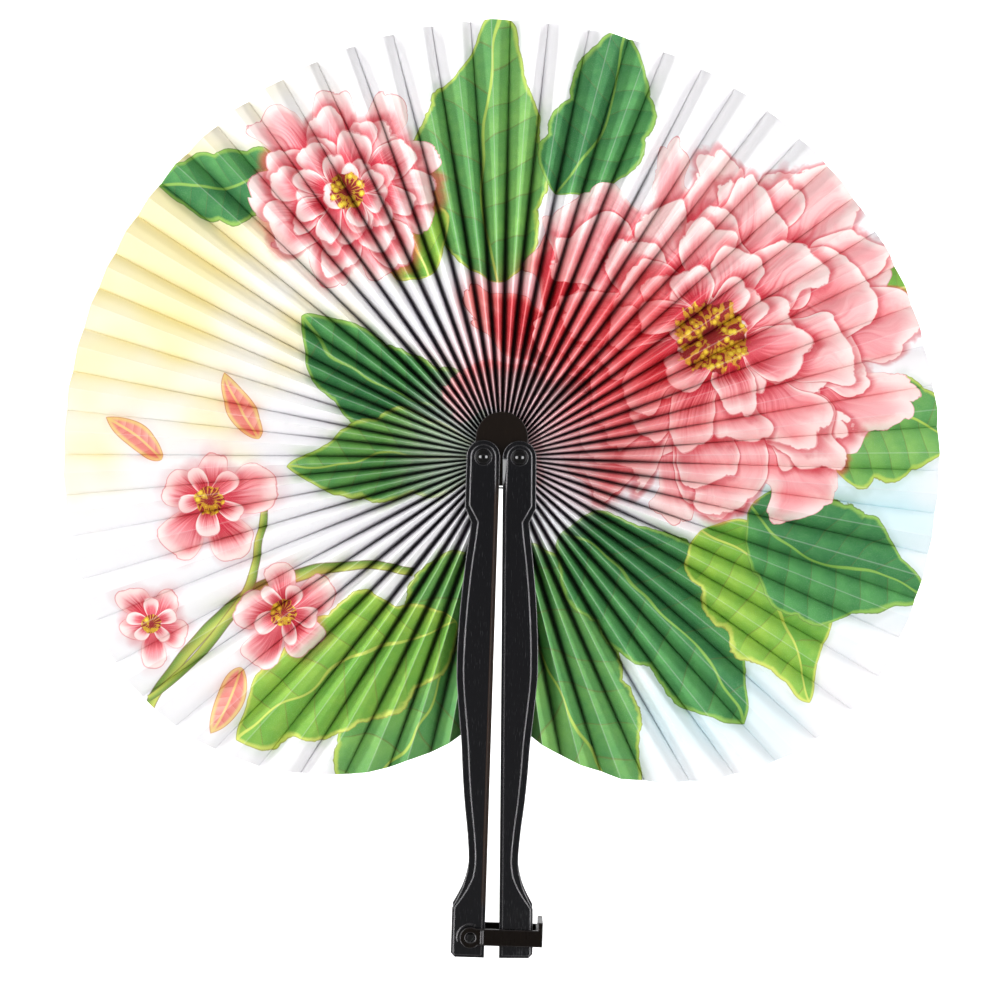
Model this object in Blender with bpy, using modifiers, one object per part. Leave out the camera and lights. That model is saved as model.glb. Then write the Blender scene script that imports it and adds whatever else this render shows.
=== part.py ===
# A round paper hand fan: a pleated leaf on a central hub, opened into a full disc
# by two channel handles that a stirrup latch holds together at their feet.
# The disc stands upright in the XZ plane and its front faces -Y. Sizes are in metres.
from math import asin, ceil, cos, degrees, hypot, pi, radians, sin, sqrt, tan

import bmesh
import bpy
from mathutils import Matrix, Vector

OBJECT_NAME = "paper_hand_fan"
LEFT = -1
RIGHT = 1

# Overall
hub_height = 0.072
running_gap = 0.0003

# Paper leaf
leaf_radius = 0.1264
leaf_inner_radius = 0.0094
leaf_end_inner_radius = 0.024
paper_thickness = 0.00015
panel_width = 0.0069
leaf_gap = 0.0002
trim_depth = 0.047
trim_start_angle = 118.0
trim_power = 1.6
first_pleat_angle = 5.2
pleat_growth_angle = 0.00043
pleats_per_side = 30
pleats_per_section = 2
pleats_in_channel = 1
radial_shares = (0, 0.07, 0.18, 0.34, 0.54, 0.77, 1)

# Hub
pin_spacing = 0.0104
core_radius = 0.0082
ring_wire_radius = 0.0003
plate_thickness = 0.00105
dome_radius = 0.0075
dome_height = 0.0056
plate_drop = 0.0048
plate_corner_radius = 0.0024

# Pivot pins
pin_radius = 0.0015
pin_head_radius = 0.0021
pin_head_thickness = 0.0004
pin_bore_radius = 0.0006
pin_bore_depth = 0.001

# Handles
handle_length = 0.1435
head_radius = 0.0048
head_length = 0.0146
fork_length = 0.0116
grip_width = 0.0105
foot_width = 0.0096
foot_corner = 0.0012
wall_thickness = 0.0008
web_thickness = 0.0012
end_wall_thickness = 0.0013
edge_bevel = 0.0004
lean_angle = 0.7
panel_height = 0.0004
panel_bevel = 0.0002
panel_head_inset = 0.0013
panel_grip_inset = 0.002
panel_inner_inset = 0.0009
panel_foot_inset = 0.0007
# Distance down the handle as a share of its length, and width as a share of the grip's
grip_shares = (
    (0.13, 0.733), (0.165, 0.78), (0.21, 0.852), (0.27, 0.925), (0.33, 0.975),
    (0.39, 1), (0.445, 0.99), (0.505, 0.91), (0.57, 0.81), (0.63, 0.75),
    (0.69, 0.67), (0.75, 0.565), (0.805, 0.505), (0.84, 0.56), (0.87, 0.69),
)
flare_end_share = 0.902
panel_foot_shares = (0.84, 0.902)

# Latch
latch_pin_rise = 0.0058
latch_pin_inset = 0.0007
latch_pin_radius = 0.0012
latch_eye_radius = 0.003
latch_arm_thickness = 0.001
latch_bar_above = 0.0026
latch_bar_below = 0.0021
latch_end_thickness = 0.0018
latch_end_above = 0.0049
latch_rib_width = 0.0006
latch_rib_height = 0.0003
rim_width = 0.0006
rim_height = 0.0006
rim_angles = (70, 200)

# Smoothness and overrun of cuts
round_steps = 32
small_round_steps = 24
wire_steps = 8
outline_steps = 3
overrun = 0.002

# Places across the depth, worked out from the middle of the leaf outwards
plate_inner = panel_width / 2 + running_gap
plate_outer = plate_inner + plate_thickness
wall_inner = plate_outer + running_gap
wall_outer = wall_inner + wall_thickness
panel_outer = wall_outer + panel_height
arm_inner = panel_outer + running_gap
arm_outer = arm_inner + latch_arm_thickness
pin_place = pin_spacing / 2
lean = radians(lean_angle)
latch_pin_drop = handle_length - latch_pin_rise
# From the latch's pin to the other foot's outer side, and past that foot's cut corner
feet_apart = 2 * (pin_place + handle_length * sin(lean))
other_side = feet_apart - latch_pin_inset + foot_width - head_radius
latch_reach = hypot(other_side, latch_pin_rise - foot_corner) + running_gap


# Scene and collections

def start_scene():
    """Empties the scene and makes the two collections."""
    for item in list(bpy.data.objects):
        bpy.data.objects.remove(item, do_unlink=True)
    made = []
    for name in (OBJECT_NAME, "cutters"):
        collection = bpy.data.collections.new(name)
        bpy.context.scene.collection.children.link(collection)
        made.append(collection)
    return made


parts, cutters = start_scene()


def material(name, colour, roughness, metallic=0.0):
    """A plain Principled material."""
    made = bpy.data.materials.new(name)
    made.use_nodes = True
    shader = made.node_tree.nodes["Principled BSDF"]
    shader.inputs["Base Color"].default_value = (*colour, 1)
    shader.inputs["Roughness"].default_value = roughness
    shader.inputs["Metallic"].default_value = metallic
    return made


handle_plastic = material("handle_plastic", (0.012, 0.012, 0.014), 0.38)
hub_plastic = material("hub_plastic", (0.014, 0.011, 0.009), 0.6)
pin_plastic = material("pin_plastic", (0.018, 0.017, 0.016), 0.25)
latch_plastic = material("latch_plastic", (0.016, 0.012, 0.009), 0.5)
ring_steel = material("ring_steel", (0.5, 0.5, 0.5), 0.35, 1.0)
printed_paper = material("printed_paper", (0.85, 0.78, 0.77), 0.8)


def add_object(name, mesh, finish, place=(0, 0, 0), turn=0.0, collection=None):
    """Links a mesh as a named object with its own material, turned about Y at its place."""
    mesh.name = name
    made = bpy.data.objects.new(name, mesh)
    (collection or parts).objects.link(made)
    made.location = place
    made.rotation_euler = (0, turn, 0)
    if finish:
        mesh.materials.clear()
        mesh.materials.append(finish)
    return made


def as_cutter(item):
    """Hides a guide solid that only cuts or joins."""
    item.hide_render = True
    item.display_type = "WIRE"
    return item


# Outlines and solids

def arc(centre, radius, first, last, steps):
    """Points of an arc from the first to the last angle, in degrees."""
    turns = [radians(first + (last - first) * n / steps) for n in range(steps + 1)]
    return [(centre[0] + radius * cos(a), centre[1] + radius * sin(a)) for a in turns]


def outline_mesh(points, depth):
    """A flat outline in X and Z as a closed mesh that is depth thick about Y = 0."""
    curve = bpy.data.curves.new("outline", "CURVE")
    curve.dimensions = "2D"
    curve.fill_mode = "BOTH"
    curve.extrude = depth / 2
    spline = curve.splines.new("POLY")
    spline.points.add(len(points) - 1)
    for point, (x, z) in zip(spline.points, points):
        point.co = (x, z, 0, 1)
    spline.use_cyclic_u = True
    guide = bpy.data.objects.new("outline", curve)
    parts.objects.link(guide)
    guide.rotation_euler = (pi / 2, 0, 0)
    bpy.context.view_layer.update()
    evaluated = guide.evaluated_get(bpy.context.evaluated_depsgraph_get())
    mesh = bpy.data.meshes.new_from_object(evaluated)
    mesh.transform(guide.matrix_world)
    bpy.data.objects.remove(guide, do_unlink=True)
    bpy.data.curves.remove(curve)
    tidy = bmesh.new()
    tidy.from_mesh(mesh)
    bmesh.ops.remove_doubles(tidy, verts=tidy.verts, dist=running_gap / 100)
    bmesh.ops.recalc_face_normals(tidy, faces=tidy.faces)
    tidy.to_mesh(mesh)
    tidy.free()
    return mesh


def cylinder_mesh(radius, depth, steps, centre=(0, 0), middle=0.0):
    """A cylinder along Y at a place in X and Z, about the given middle."""
    built = bmesh.new()
    bmesh.ops.create_cone(
        built, cap_ends=True, segments=steps, radius1=radius, radius2=radius, depth=depth,
        matrix=Matrix.Translation((centre[0], middle, centre[1])) @ Matrix.Rotation(pi / 2, 4, "X"),
    )
    mesh = bpy.data.meshes.new("cylinder")
    built.to_mesh(mesh)
    built.free()
    return mesh


def boolean(item, operation, mesh):
    """Cuts a guide mesh out of an object, or joins it on, in the object's own frame."""
    guide = add_object(f"{item.name}_guide_{len(item.modifiers)}", mesh, None, item.location,
                       item.rotation_euler.y, cutters)
    as_cutter(guide)
    step = item.modifiers.new(operation.lower(), "BOOLEAN")
    step.operation = operation
    step.object = guide
    return guide


def drill(item, radius, centre, low, high, steps=small_round_steps):
    """Cuts a round hole along Y between two depths."""
    boolean(item, "DIFFERENCE", cylinder_mesh(radius, high - low, steps, centre, (low + high) / 2))


def bevel(item, width, steps):
    """Rounds an object's sharp edges."""
    step = item.modifiers.new("bevel", "BEVEL")
    step.width = width
    step.segments = steps
    step.limit_method = "ANGLE"
    step.angle_limit = radians(50)
    step.use_clamp_overlap = True
    return step


def smooth(item):
    """Shades round faces smooth and leaves edges sharp."""
    item.data.shade_smooth()
    item.data.set_sharp_from_angle(angle=radians(35))


# Hub

def hub_core():
    """The drum that the leaf gathers round, bored for the two pivot pins."""
    mesh = cylinder_mesh(core_radius, panel_width, round_steps)
    core = add_object("hub_core", mesh, hub_plastic, (0, 0, hub_height))
    for side in (LEFT, RIGHT):
        drill(core, pin_radius + running_gap, (side * pin_place, 0), -plate_outer, plate_outer)
    smooth(core)


def hub_plate(name, side):
    """One of the two domed plates that hold the leaf's inner ends between them."""
    points = arc((0, dome_height), dome_radius, 0, 180, round_steps)
    low = plate_corner_radius - plate_drop
    across = dome_radius - plate_corner_radius
    points += arc((-across, low), plate_corner_radius, 180, 270, small_round_steps // 4)
    points += arc((across, low), plate_corner_radius, 270, 360, small_round_steps // 4)
    middle = side * (plate_inner + plate_outer) / 2
    mesh = outline_mesh(points, plate_thickness)
    plate = add_object(name, mesh, hub_plastic, (0, middle, hub_height))
    bevel(plate, edge_bevel / 2, 1)
    for pin in (LEFT, RIGHT):
        drill(plate, pin_radius + running_gap, (pin * pin_place, 0), -plate_outer, plate_outer)
    smooth(plate)


def gather_ring():
    """The wire that draws the pleats' inner ends together round the drum."""
    ring_radius = (core_radius + leaf_inner_radius) / 2
    curve = bpy.data.curves.new("gather_ring", "CURVE")
    curve.dimensions = "3D"
    curve.bevel_depth = ring_wire_radius
    curve.bevel_resolution = wire_steps // 4 - 1
    spline = curve.splines.new("POLY")
    spline.points.add(2 * round_steps - 1)
    for n, point in enumerate(spline.points):
        turn = pi * n / round_steps
        point.co = (ring_radius * cos(turn), 0, ring_radius * sin(turn), 1)
    spline.use_cyclic_u = True
    ring = bpy.data.objects.new("gather_ring", curve)
    parts.objects.link(ring)
    ring.location = (0, 0, hub_height)
    curve.materials.append(ring_steel)


def turned(name, profile, steps, finish, place):
    """A turned piece whose axis lies along Y, from a profile of radius and distance."""
    mesh = bpy.data.meshes.new(name)
    edges = [(n, n + 1) for n in range(len(profile) - 1)]
    mesh.from_pydata([(radius, 0, along) for radius, along in profile], edges, [])
    mesh.update()
    item = add_object(name, mesh, finish, place)
    item.rotation_euler = (pi / 2, 0, 0)
    screw = item.modifiers.new("turn", "SCREW")
    screw.axis = "Z"
    screw.steps = steps
    screw.render_steps = steps
    screw.use_merge_vertices = True
    screw.merge_threshold = running_gap / 100
    screw.use_normal_calculate = True
    return item


def pivot_pin(name, side):
    """A headed pin with a blind bore at each end, through both handle walls and the hub."""
    head_in = wall_outer + running_gap
    head_out = head_in + pin_head_thickness
    chamfer = pin_head_thickness / 2
    bore_end = head_out - pin_bore_depth
    upper = [
        (0, bore_end), (pin_bore_radius, bore_end), (pin_bore_radius, head_out),
        (pin_head_radius - chamfer, head_out), (pin_head_radius, head_out - chamfer),
        (pin_head_radius, head_in), (pin_radius, head_in),
    ]
    profile = upper + [(radius, -along) for radius, along in reversed(upper)]
    place = (side * pin_place, 0, hub_height)
    smooth(turned(name, profile, small_round_steps, pin_plastic, place))


# Handles

def through_points(stations, fraction):
    """A smooth curve through rows of numbers, read at a fraction of its whole run."""
    spans = len(stations) - 1
    n = min(int(fraction * spans), spans - 1)
    t = fraction * spans - n
    before, first, last, after = [
        stations[min(max(n + step, 0), spans)] for step in (-1, 0, 1, 2)
    ]
    return tuple(
        0.5 * (2 * b + (c - a) * t + (2 * a - 5 * b + 4 * c - d) * t**2
               + (3 * b - a - 3 * c + d) * t**3)
        for a, b, c, d in zip(before, first, last, after)
    )


def outer_side():
    """The handle's outer side below its head, as distance down and distance out from the pin."""
    stations = [
        (down * handle_length, width * grip_width - head_radius) for down, width in grip_shares
    ]
    stations.append((flare_end_share * handle_length, foot_width - head_radius))
    count = outline_steps * (len(stations) - 1)
    return [through_points(stations, n / count) for n in range(count + 1)]


def handle_outline(side):
    """The handle's outline in its own frame, with the pin at 0 and outwards as side says."""
    foot_out = foot_width - head_radius
    points = [(-head_radius, -handle_length)]
    points += arc((0, 0), head_radius, 180, 0, small_round_steps)
    points.append((head_radius, -head_length))
    points += [(out, -down) for down, out in outer_side()]
    points.append((foot_out, foot_corner - handle_length))
    points.append((foot_out - foot_corner, -handle_length))
    return [(side * x, z) for x, z in points]


def panel_outline(side):
    """The raised panel's outline, inset from the handle's."""
    inset_head = head_radius - panel_head_inset
    inner = panel_inner_inset - head_radius
    foot_low = panel_foot_inset - handle_length
    foot_out = foot_width - head_radius - panel_foot_inset
    start, end = [share * handle_length for share in panel_foot_shares]
    points = [(inner, foot_low), (inner, -head_length)]
    points += arc((0, 0), inset_head, 180, 0, small_round_steps)
    points.append((inset_head, panel_head_inset / 2 - head_length))
    for down, out in outer_side():
        part_way = min(max((down - start) / (end - start), 0), 1)
        inset = panel_grip_inset + (panel_foot_inset - panel_grip_inset) * part_way
        points.append((out - inset, -down))
    points.append((foot_out, foot_corner - handle_length))
    points.append((foot_out - foot_corner + panel_foot_inset, foot_low))
    return [(side * x, z) for x, z in points]


def channel_outline(side):
    """The room inside the handle: between its walls at the fork, and beside its web below."""
    web = web_thickness - head_radius
    far = grip_width + overrun
    end = end_wall_thickness - handle_length
    points = [
        (web, end), (far, end), (far, far), (-far, far), (-far, -fork_length), (web, -fork_length),
    ]
    return [(side * x, z) for x, z in points]


def latch_place(side):
    """Where the latch's pin stands in the handle's own frame."""
    return (-side * latch_pin_inset, -latch_pin_drop)


def rim_outline(side):
    """The low rim on the foot's face that follows the latch's eye."""
    inner = latch_eye_radius + running_gap
    steps = small_round_steps // 2
    centre = latch_place(side)
    points = arc(centre, inner, *rim_angles, steps)
    return points + arc(centre, inner + rim_width, *reversed(rim_angles), steps)


def handle(name, side, holds_latch):
    """A channel handle: two walls joined by a web along the inner side, with a raised panel."""
    mesh = outline_mesh(handle_outline(side), 2 * wall_outer)
    item = add_object(name, mesh, handle_plastic, (side * pin_place, 0, hub_height), -side * lean)
    bevel(item, edge_bevel, 2)
    panel = boolean(item, "UNION", outline_mesh(panel_outline(side), 2 * panel_outer))
    bevel(panel, panel_bevel, 1)
    if holds_latch:
        boolean(item, "UNION", outline_mesh(rim_outline(side), 2 * (panel_outer + rim_height)))
    boolean(item, "DIFFERENCE", outline_mesh(channel_outline(side), 2 * wall_inner))
    far = panel_outer + overrun
    drill(item, pin_radius + running_gap, (0, 0), -far, far)
    for low, high in ((-far, -wall_outer), (wall_outer, far)):
        drill(item, pin_head_radius + running_gap, (0, 0), low, high)
    if holds_latch:
        drill(item, latch_pin_radius + running_gap, latch_place(side), -far, far)
    smooth(item)
    return item


# Latch

def latch_frame(handle_item, side):
    """The latch pin's place in the world, and the turn of the handle that carries it."""
    x, z = latch_place(side)
    return handle_item.matrix_world @ Vector((x, 0, z)), handle_item.rotation_euler.y


def latch(place, turn, side):
    """A stirrup: two arms with eyes on the pin, a rib across each and an end round the other foot."""
    across = -side
    far = latch_reach + latch_end_thickness
    upper = degrees(asin(latch_bar_above / latch_eye_radius))
    lower = degrees(asin(latch_bar_below / latch_eye_radius))
    points = arc((0, 0), latch_eye_radius, upper, 360 - lower, small_round_steps)
    inside = latch_reach + edge_bevel
    points += [
        (far, -latch_bar_below), (far, latch_end_above),
        (inside, latch_end_above), (inside, latch_bar_above),
    ]
    points = [(across * x, z) for x, z in points]
    item = add_object("latch", outline_mesh(points, 2 * arm_outer), latch_plastic, place, turn)
    bevel(item, edge_bevel / 2, 1)
    rib_near, rib_far = latch_eye_radius, latch_eye_radius + latch_rib_width
    rib_low, rib_high = edge_bevel - latch_bar_below, latch_bar_above - edge_bevel
    rib = [(rib_near, rib_low), (rib_far, rib_low), (rib_far, rib_high), (rib_near, rib_high)]
    rib = [(across * x, z) for x, z in rib]
    boolean(item, "UNION", outline_mesh(rib, 2 * (arm_outer + latch_rib_height)))
    room = [
        (-latch_reach, -latch_reach), (latch_reach, -latch_reach),
        (latch_reach, latch_reach), (-latch_reach, latch_reach),
    ]
    room = [(across * x, z) for x, z in room]
    boolean(item, "DIFFERENCE", outline_mesh(room, 2 * arm_inner))
    far_out = arm_outer + overrun
    drill(item, latch_pin_radius + running_gap, (0, 0), -far_out, far_out)
    smooth(item)


def latch_pin(place, turn):
    """The pin that the latch turns on, flush with its arms."""
    chamfer = latch_pin_radius / 4
    upper = [
        (0, arm_outer), (latch_pin_radius - chamfer, arm_outer), (latch_pin_radius, arm_outer - chamfer),
    ]
    profile = upper + [(radius, -along) for radius, along in reversed(upper)]
    item = turned("latch_pin", profile, small_round_steps, pin_plastic, place)
    item.rotation_euler = (pi / 2, 0, 0)
    smooth(item)


# Paper leaf

def crease_angle(line):
    """Degrees from the top of the disc to a crease. Even lines are rear creases, odd ones front."""
    pleat = line / 2
    return first_pleat_angle * pleat + pleat_growth_angle * pleat**3


def edge_radius(angle):
    """The leaf's outer radius, trimmed back towards the handles."""
    end = crease_angle(2 * (pleats_per_side + pleats_in_channel))
    past = max(angle - trim_start_angle, 0) / (end - trim_start_angle)
    return leaf_radius - trim_depth * past**trim_power


def sheet_place(line, radius, run):
    """Front and rear of the sheet at a crease, across the depth. run is a panel's width there."""
    run = min(run, panel_width - paper_thickness)
    depth = sqrt(panel_width**2 - run**2)
    thick = paper_thickness
    rest = run**2 - thick**2
    shift = (sqrt((thick**2 * depth)**2 + rest * thick**2 * (run**2 + depth**2)) - thick**2 * depth) / rest
    if line % 2:
        return -depth / 2, -depth / 2 + shift
    return depth / 2 - shift, depth / 2


def leaf_section(name, side, first, last, inner, place, last_angle=None):
    """A stretch of the pleated sheet between two crease lines, as a closed thin solid."""
    rows, columns = len(radial_shares), last - first + 1
    built = bmesh.new()
    bmesh.ops.create_grid(built, x_segments=columns - 1, y_segments=rows - 1, size=1)
    built.verts.ensure_lookup_table()
    order = sorted(built.verts, key=lambda v: (round(v.co.x * columns * rows), v.co.y))
    rear = {}
    for n, vert in enumerate(order):
        line, share = first + n // rows, radial_shares[n % rows]
        angle = crease_angle(line)
        ends_here = last_angle is not None and line == last
        outer = edge_radius(last_angle(leaf_radius) if ends_here else angle)
        radius = inner + (outer - inner) * share
        run = radius * radians(crease_angle(line + 1) - crease_angle(line - 1)) / 2
        trim = degrees(leaf_gap / 2 / radius)
        if ends_here:
            angle = last_angle(radius)
        else:
            angle += trim if line == first else -trim if line == last else 0
        front_y, rear_y = sheet_place(line, radius, run)
        x, z = side * radius * sin(radians(angle)), radius * cos(radians(angle))
        vert.co = (x, front_y, z)
        rear[vert] = Vector((x, rear_y, z))
    made = bmesh.ops.extrude_face_region(built, geom=list(built.faces))
    copies = [v for v in made["geom"] if isinstance(v, bmesh.types.BMVert)]
    sources = {v.co.copy().freeze(): v for v in rear}
    for vert in copies:
        vert.co = rear[sources[vert.co.copy().freeze()]]
    bmesh.ops.recalc_face_normals(built, faces=built.faces)
    mesh = bpy.data.meshes.new(name)
    built.to_mesh(mesh)
    built.free()
    return add_object(name, mesh, printed_paper, place)


def web_angle(radius):
    """Degrees from the top to the glued edge of the leaf, which lies along the handle's web."""
    inner_edge = pin_place - head_radius + web_thickness + running_gap
    beside = inner_edge + radius * tan(lean)
    return 180 - degrees(asin(beside / radius))


def leaf():
    """The whole leaf: sections that turn about the hub, and an end glued in each handle."""
    place = (0, 0, hub_height)
    lines_per_section = 2 * pleats_per_section
    last_free = 2 * pleats_per_side
    for side, word in ((LEFT, "left"), (RIGHT, "right")):
        for n in range(ceil(last_free / lines_per_section)):
            first = n * lines_per_section
            last = min(first + lines_per_section, last_free)
            leaf_section(f"leaf_{word}_{n + 1:02d}", side, first, last, leaf_inner_radius, place)
        end = last_free + 2 * pleats_in_channel + 1
        leaf_section(f"leaf_end_{word}", side, last_free, end, leaf_end_inner_radius, place, web_angle)


# Assembly

hub_core()
hub_plate("hub_front_plate", -1)
hub_plate("hub_rear_plate", 1)
gather_ring()
pivot_pin("pivot_pin_left", LEFT)
pivot_pin("pivot_pin_right", RIGHT)
left_handle = handle("handle_left", LEFT, True)
handle("handle_right", RIGHT, False)
bpy.context.view_layer.update()
latch_at, latch_turn = latch_frame(left_handle, LEFT)
latch(latch_at, latch_turn, LEFT)
latch_pin(latch_at, latch_turn)
leaf()
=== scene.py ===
"""The looks of a round paper hand fan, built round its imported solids."""
import random
from math import asin, cos, degrees, hypot, pi, radians, sin, sqrt, tan

import bpy
from mathutils import Matrix, Vector


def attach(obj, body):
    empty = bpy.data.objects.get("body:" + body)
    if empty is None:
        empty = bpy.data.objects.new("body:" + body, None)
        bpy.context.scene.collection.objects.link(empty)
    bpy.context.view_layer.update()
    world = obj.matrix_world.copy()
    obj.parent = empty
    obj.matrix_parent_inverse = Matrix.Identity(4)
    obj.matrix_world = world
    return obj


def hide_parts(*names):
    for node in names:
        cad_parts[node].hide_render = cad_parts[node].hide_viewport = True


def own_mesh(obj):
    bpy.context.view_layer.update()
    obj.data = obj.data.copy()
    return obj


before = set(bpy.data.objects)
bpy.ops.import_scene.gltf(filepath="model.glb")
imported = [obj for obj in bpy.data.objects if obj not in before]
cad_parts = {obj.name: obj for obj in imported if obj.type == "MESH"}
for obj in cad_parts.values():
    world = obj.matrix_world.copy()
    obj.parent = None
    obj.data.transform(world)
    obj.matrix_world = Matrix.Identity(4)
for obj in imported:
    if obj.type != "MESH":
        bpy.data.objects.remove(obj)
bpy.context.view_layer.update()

# The solids' own sizes, in metres and degrees
HUB_HEIGHT = 0.072
LEAF_RADIUS = 0.1264
LEAF_INNER_RADIUS = 0.0084
END_INNER_RADIUS = 0.024
PAPER_THICKNESS = 0.00015
PANEL_WIDTH = 0.0069
TRIM_DEPTH = 0.047
TRIM_START_ANGLE = 118.0
TRIM_POWER = 1.6
FIRST_PLEAT_ANGLE = 5.2
PLEAT_GROWTH_ANGLE = 0.00043
PLEATS_PER_SIDE = 30
PLEATS_IN_CHANNEL = 1
LINES_PER_SECTION = 4
PIN_PLACE = 0.0052
HEAD_RADIUS = 0.0048
WEB_THICKNESS = 0.0012
RUNNING_GAP = 0.0003
LEAN = radians(0.7)

MM = 0.001

# The picture on the paper is laid out in millimetres from the hub, in a square of this width
PICTURE_WIDTH = 260.0


def linear(shade):
    """One channel of a screen colour as light."""
    share = shade / 255
    return share / 12.92 if share <= 0.04045 else ((share + 0.055) / 1.055)**2.4


def colour(red, green, blue):
    """A screen colour, 0 to 255, as a shader colour."""
    return (linear(red), linear(green), linear(blue), 1.0)


# Shader sums

class Num:
    """A number in a shader. Arithmetic on it adds nodes."""

    def __init__(self, paint, socket):
        self.paint = paint
        self.socket = socket

    def __add__(self, other):
        return self.paint.math("ADD", self, other)

    def __radd__(self, other):
        return self.paint.math("ADD", other, self)

    def __sub__(self, other):
        return self.paint.math("SUBTRACT", self, other)

    def __rsub__(self, other):
        return self.paint.math("SUBTRACT", other, self)

    def __mul__(self, other):
        return self.paint.math("MULTIPLY", self, other)

    def __rmul__(self, other):
        return self.paint.math("MULTIPLY", other, self)

    def __truediv__(self, other):
        return self.paint.math("DIVIDE", self, other)

    def __rtruediv__(self, other):
        return self.paint.math("DIVIDE", other, self)

    def __pow__(self, other):
        return self.paint.math("POWER", self, other)

    def __abs__(self):
        return self.paint.math("ABSOLUTE", self)


class Paint:
    """A node tree written as sums."""

    def __init__(self, tree):
        self.tree = tree

    def feed(self, socket, value):
        if isinstance(value, Num):
            value = value.socket
        if isinstance(value, bpy.types.NodeSocket):
            self.tree.links.new(value, socket)
        else:
            socket.default_value = value

    def node(self, kind, inputs=None, **settings):
        made = self.tree.nodes.new(kind)
        for name, value in settings.items():
            setattr(made, name, value)
        for name, value in (inputs or {}).items():
            self.feed(made.inputs[name], value)
        return made

    def math(self, operation, *values):
        made = self.node("ShaderNodeMath", operation=operation)
        for socket, value in zip(made.inputs, values):
            self.feed(socket, value)
        return Num(self, made.outputs[0])

    def step(self, value, low, high):
        """0 at low and 1 at high, smooth between."""
        made = self.node("ShaderNodeMapRange", interpolation_type="SMOOTHSTEP")
        for name, number in (("Value", value), ("From Min", low), ("From Max", high)):
            self.feed(made.inputs[name], number)
        return Num(self, made.outputs[0])

    def mix(self, share, under, over, kind="MIX"):
        """The under colour with a share of the over colour laid on it."""
        made = self.node("ShaderNodeMix", data_type="RGBA", blend_type=kind)
        for n, value in ((0, share), (6, under), (7, over)):
            self.feed(made.inputs[n], value)
        return made.outputs[2]

    def vector(self, x, y, z=0.0):
        return self.node("ShaderNodeCombineXYZ", {"X": x, "Y": y, "Z": z}).outputs[0]

    def length(self, x, y):
        return self.math("SQRT", x * x + y * y)

    def noise(self, place, scale, detail=1.0):
        """A noise texture's node. Its Fac is smooth noise about 0.5."""
        return self.node("ShaderNodeTexNoise", {
            "Vector": place, "Scale": scale, "Detail": detail, "Roughness": 0.5,
        })

    def noise_at(self, place, scale, detail=1.0):
        return Num(self, self.noise(place, scale, detail).outputs["Fac"])

    def parts(self, colours):
        """A colour's three numbers."""
        parted = self.node("ShaderNodeSeparateColor", {"Color": colours})
        return [Num(self, socket) for socket in parted.outputs]

    def sides(self, vector):
        """A vector's x, y and z."""
        parted = self.node("ShaderNodeSeparateXYZ", {"Vector": vector})
        return [Num(self, socket) for socket in parted.outputs]

    def noise_line(self, along):
        """Smooth noise about 0.5 along one number."""
        made = self.node("ShaderNodeTexNoise", {"W": along, "Scale": 1.0, "Detail": 1.0},
                         noise_dimensions="1D")
        return Num(self, made.outputs["Fac"])

    def chance(self, number):
        """A number from 0 to 1 that jumps with the given one."""
        made = self.node("ShaderNodeTexWhiteNoise", {"W": number}, noise_dimensions="1D")
        return Num(self, made.outputs["Value"])


def motif(name, numbers, colours, draw):
    """A node group that lays one motif over the colour Under."""
    tree = bpy.data.node_groups.new(name, "ShaderNodeTree")
    for word in numbers:
        tree.interface.new_socket(word, in_out="INPUT", socket_type="NodeSocketFloat")
    for word in ["Under"] + colours:
        tree.interface.new_socket(word, in_out="INPUT", socket_type="NodeSocketColor")
    tree.interface.new_socket("Colour", in_out="OUTPUT", socket_type="NodeSocketColor")
    paint = Paint(tree)
    given = paint.node("NodeGroupInput")
    values = {word: Num(paint, given.outputs[word]) for word in numbers}
    values.update({word: given.outputs[word] for word in ["Under"] + colours})
    result = draw(paint, values)
    end = paint.node("NodeGroupOutput")
    paint.feed(end.inputs["Colour"], result)
    return tree


# Motifs

def swirl(v, amount):
    """A slow drift of x and y in millimetres, different for each seed."""
    paint = v["X"].paint
    turn = v["Seed"] * 2.3
    lean = paint.math("COSINE", turn) * amount
    rise = paint.math("SINE", turn) * amount
    drift_a, drift_b = v["Drift A"] - 0.5, v["Drift B"] - 0.5
    return drift_a * lean + drift_b * rise, drift_b * lean - drift_a * rise


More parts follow.
